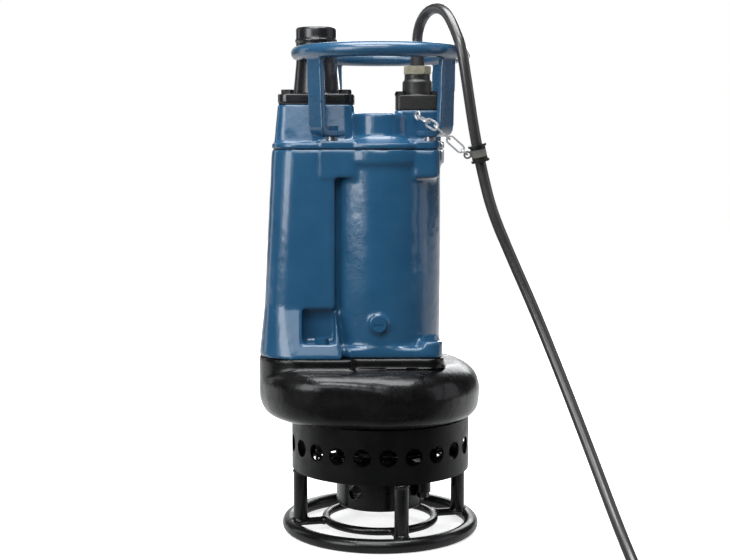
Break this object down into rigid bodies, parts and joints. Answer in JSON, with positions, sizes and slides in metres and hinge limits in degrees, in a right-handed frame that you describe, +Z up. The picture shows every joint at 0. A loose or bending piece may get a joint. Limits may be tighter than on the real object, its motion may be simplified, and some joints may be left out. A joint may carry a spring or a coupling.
{
  "type": "slurry pump",
  "caption": "Portable submersible slurry pump with a ring handle, hose coupling, perforated strainer skirt, round bar stand, agitator and a free power cable.",
  "frame": {"origin": "where the shaft axis meets the floor, at the middle of the base ring", "axes": "+Z up along the shaft, +X to the right of the pump away from the discharge, +Y to the back"},
  "size_m": [0.5277, 0.7639, 0.7849],
  "materials": {
    "black_paint": "semi-gloss black paint",
    "blue_paint": "semi-gloss blue paint over a cast surface",
    "black_coupling": "gloss black enamel",
    "steel": "zinc plated",
    "cast_iron": "as cast",
    "stainless": "polished",
    "gland_metal": "pale brass",
    "rubber": "matte",
    "seal_carbon": "lapped",
    "copper": "lacquered wire"
  },
  "bodies": {
    "pump": {"cable_clamp": "stainless", "cable_coil": "rubber", "casing_bolts": "steel", "chain_eye": "stainless", "clamp_chain": "stainless", "coupling_bolts": "steel", "cover_gasket": "rubber", "discharge_gasket": "rubber", "gland_body": "black_coupling", "gland_bolts": "steel", "gland_nut": "gland_metal", "gland_plate": "black_coupling", "gland_sleeve": "rubber", "handle_bolts": "steel", "handle_legs": "blue_paint", "handle_ring": "blue_paint", "handle_spacers": "steel", "hose_coupling": "black_coupling", "inner_screen": "steel", "lower_bearing_outer_ring": "steel", "lower_seal_seat": "seal_carbon", "motor_frame": "blue_paint", "oil_plug": "blue_paint", "power_cable": "rubber", "seal_cover": "cast_iron", "stand_inner_ring": "black_paint", "stand_legs": "black_paint", "stand_outer_ring": "black_paint", "stand_spokes": "black_paint", "stator_core": "steel", "stator_windings": "copper", "strainer_bolts": "steel", "strainer_skirt": "black_paint", "suction_bolts": "steel", "suction_hub": "black_paint", "suction_plate": "cast_iron", "suction_plate_screws": "steel", "top_cover": "blue_paint", "upper_bearing_outer_ring": "steel", "upper_seal_seat": "seal_carbon", "volute_casing": "black_paint"},
    "rotor": {"shaft": "steel", "rotor_core": "steel", "impeller": "cast_iron", "agitator": "cast_iron", "shaft_sleeve": "steel", "agitator_nut": "steel", "lower_bearing_inner_ring": "steel", "upper_bearing_inner_ring": "steel", "lower_seal_ring": "seal_carbon", "upper_seal_ring": "seal_carbon"},
    "lower_balls": {"lower_bearing_balls": "steel"},
    "upper_balls": {"upper_bearing_balls": "steel"}
  },
  "joints": [
    {"name": "shaft_spin", "type": "hinge", "parent": "pump", "child": "rotor", "pos_m": [0, 0, 0.36], "axis": [0, 0, 1], "continuous": true},
    {"name": "lower_balls_spin", "type": "hinge", "parent": "pump", "child": "lower_balls", "pos_m": [0, 0, 0.36], "axis": [0, 0, 1], "continuous": true},
    {"name": "upper_balls_spin", "type": "hinge", "parent": "pump", "child": "upper_balls", "pos_m": [0, 0, 0.55], "axis": [0, 0, 1], "continuous": true}
  ],
  "couplings": [
    {"joint": "lower_balls_spin", "follows": "shaft_spin", "ratio": 0.41},
    {"joint": "upper_balls_spin", "follows": "shaft_spin", "ratio": 0.408}
  ]
}
